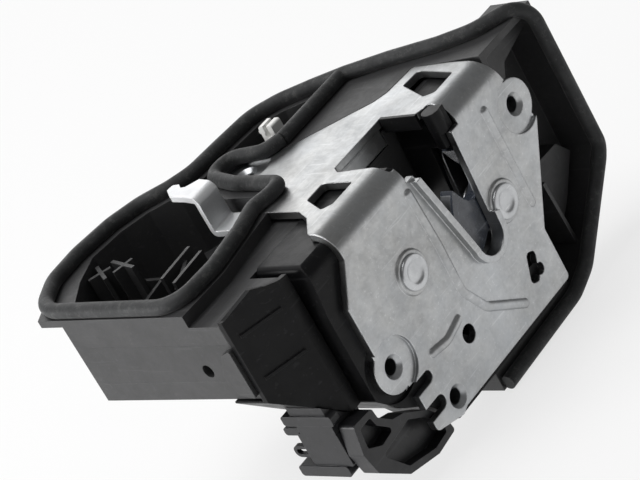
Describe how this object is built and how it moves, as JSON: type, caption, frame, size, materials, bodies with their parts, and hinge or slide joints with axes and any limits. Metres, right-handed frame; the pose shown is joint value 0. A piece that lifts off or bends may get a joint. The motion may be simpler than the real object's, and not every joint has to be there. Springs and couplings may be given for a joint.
{
  "type": "door latch actuator",
  "caption": "Side-door latch with its power lock: bent steel latch plate with a striker slot, claw and pawl, tray housing with a rubber seal, release lever and plug socket.",
  "frame": {"origin": "centre of the latched striker bar, in the plane of the latch face", "axes": "+X up the door, +Y into the door from the latch face, +Z inboard; for the right-hand side of a vehicle"},
  "size_m": [0.1594, 0.109, 0.0951],
  "materials": {
    "zinc_sheet": "zinc-plated, matt to satin",
    "spring_steel": "oil-blacked wire",
    "claw_steel": "hardened, blue-grey",
    "rivet_steel": "zinc-plated, turned",
    "claw_coating": "moulded polyester skin",
    "rubber": "matt foam rubber",
    "bumper_rubber": "matt",
    "black_plastic": "fine-grained moulding",
    "cover_plastic": "fine-grained moulding",
    "connector_plastic": "satin moulding",
    "clip_nylon": "natural nylon",
    "gear_plastic": "natural acetal",
    "switch_plastic": "dark brown",
    "motor_steel": "nickel-plated",
    "brass": "turned",
    "contact_metal": "tin-plated",
    "screw_steel": "zinc-plated"
  },
  "bodies": {
    "root": {"latch_plate": "zinc_sheet", "claw_rivet": "rivet_steel", "pawl_rivet": "rivet_steel", "back_plate": "zinc_sheet", "claw_spring": "spring_steel", "pawl_spring": "spring_steel", "latch_housing": "black_plastic", "slot_bumper": "bumper_rubber", "seal": "rubber", "actuator_housing": "black_plastic", "rear_cover": "cover_plastic", "cover_screws": "screw_steel", "side_cover": "cover_plastic", "connector_socket": "connector_plastic", "connector_pins": "contact_metal", "connector_bracket": "connector_plastic", "lever_pin": "rivet_steel", "lever_spring": "spring_steel", "motor_can": "motor_steel", "motor_end_bell": "switch_plastic", "wheel_pin": "rivet_steel", "lock_pin": "rivet_steel", "lead_frame": "switch_plastic", "ajar_switch": "switch_plastic", "lock_switch": "switch_plastic"},
    "claw": {"claw": "claw_steel", "claw_jacket": "claw_coating"},
    "pawl": {"pawl": "claw_steel"},
    "release_lever": {"release_lever": "zinc_sheet"},
    "worm_wheel": {"worm_wheel": "gear_plastic"},
    "motor_shaft": {"motor_shaft": "screw_steel", "worm": "brass"},
    "lock_lever": {"lock_lever": "zinc_sheet", "rod_clip": "clip_nylon"}
  },
  "joints": [
    {"name": "claw_turn", "type": "hinge", "parent": "root", "child": "claw", "pos_m": [0.0136, 0.0058, 0.0029], "axis": [0, -1, 0], "range_deg": [0, 75], "stiffness_Nm_per_rad": 0.15, "springref_deg": -34.38},
    {"name": "pawl_turn", "type": "hinge", "parent": "root", "child": "pawl", "pos_m": [-0.0326, 0.0058, 0.0113], "axis": [0, -1, 0], "range_deg": [0, 7], "stiffness_Nm_per_rad": 0.3},
    {"name": "release_lever_turn", "type": "hinge", "parent": "root", "child": "release_lever", "pos_m": [-0.0384, 0.0594, 0.028], "axis": [0.0349, -0.9994, 0], "range_deg": [0, 22], "stiffness_Nm_per_rad": 0.08, "springref_deg": -28.65},
    {"name": "worm_wheel_turn", "type": "hinge", "parent": "root", "child": "worm_wheel", "pos_m": [0.0258, 0.0348, 0.024], "axis": [0, 0, 1], "range_deg": [0, 130]},
    {"name": "motor_shaft_spin", "type": "hinge", "parent": "root", "child": "motor_shaft", "pos_m": [0.0078, 0.045, 0.024], "axis": [1, 0, 0], "range_deg": [0, 2340]},
    {"name": "lock_lever_turn", "type": "hinge", "parent": "root", "child": "lock_lever", "pos_m": [0.01379, 0.05202, 0.03635], "axis": [0, 0, -1], "range_deg": [0, 26]}
  ],
  "couplings": [
    {"joint": "motor_shaft_spin", "follows": "worm_wheel_turn", "ratio": 18},
    {"joint": "lock_lever_turn", "follows": "worm_wheel_turn", "ratio": 0.2}
  ]
}
